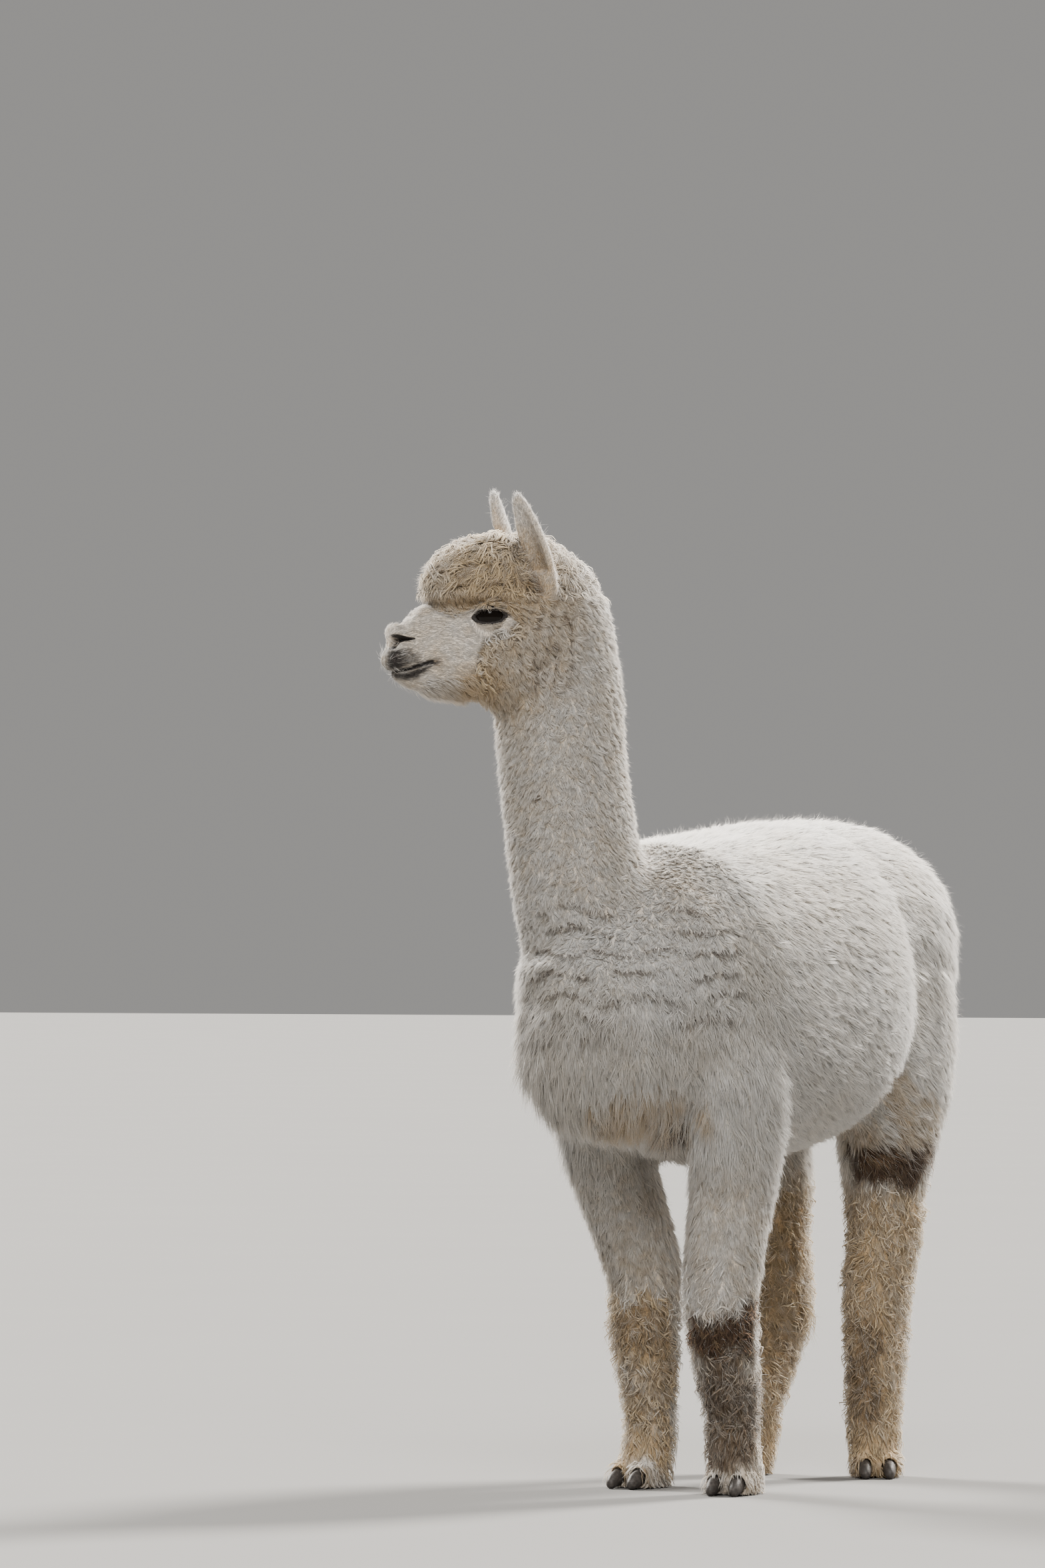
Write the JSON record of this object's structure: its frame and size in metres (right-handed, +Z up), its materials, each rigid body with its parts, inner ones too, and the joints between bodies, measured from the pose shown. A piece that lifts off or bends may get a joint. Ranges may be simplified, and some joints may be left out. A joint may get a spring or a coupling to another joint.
{
  "type": "alpaca",
  "caption": "Life-size standing alpaca with a thick crimped fleece, a slim upright neck, a woolly topknot, spear-shaped ears and the head turned to its right",
  "frame": {"origin": "on the floor, under the middle of the animal's box", "axes": "+Z is up, the animal faces -Y, and its left side is towards +X"},
  "size_m": [0.4856, 1.0568, 1.3607],
  "materials": {
    "fleece": "matte",
    "leg_wool": "matte",
    "topknot_wool": "matte",
    "face_hair": "matte",
    "muzzle_skin": "matte",
    "eye": "wet gloss",
    "toenail": "satin"
  },
  "bodies": {
    "root": {"leg_front_left_upper": "leg_wool", "leg_front_left_lower": "leg_wool", "foot_front_left": "leg_wool", "nail_front_left_outer": "toenail", "nail_front_left_inner": "toenail", "leg_front_right_upper": "leg_wool", "leg_front_right_lower": "leg_wool", "foot_front_right": "leg_wool", "nail_front_right_outer": "toenail", "nail_front_right_inner": "toenail", "leg_hind_left_upper": "leg_wool", "leg_hind_left_lower": "leg_wool", "foot_hind_left": "leg_wool", "nail_hind_left_outer": "toenail", "nail_hind_left_inner": "toenail", "leg_hind_right_upper": "leg_wool", "leg_hind_right_lower": "leg_wool", "foot_hind_right": "leg_wool", "nail_hind_right_outer": "toenail", "nail_hind_right_inner": "toenail", "trunk": "fleece", "tail": "fleece", "neck": "fleece", "topknot": "topknot_wool", "head": "face_hair", "ear_left": "face_hair", "ear_right": "face_hair", "muzzle": "muzzle_skin", "eye_left": "eye", "eye_right": "eye"}
  },
  "joints": []
}
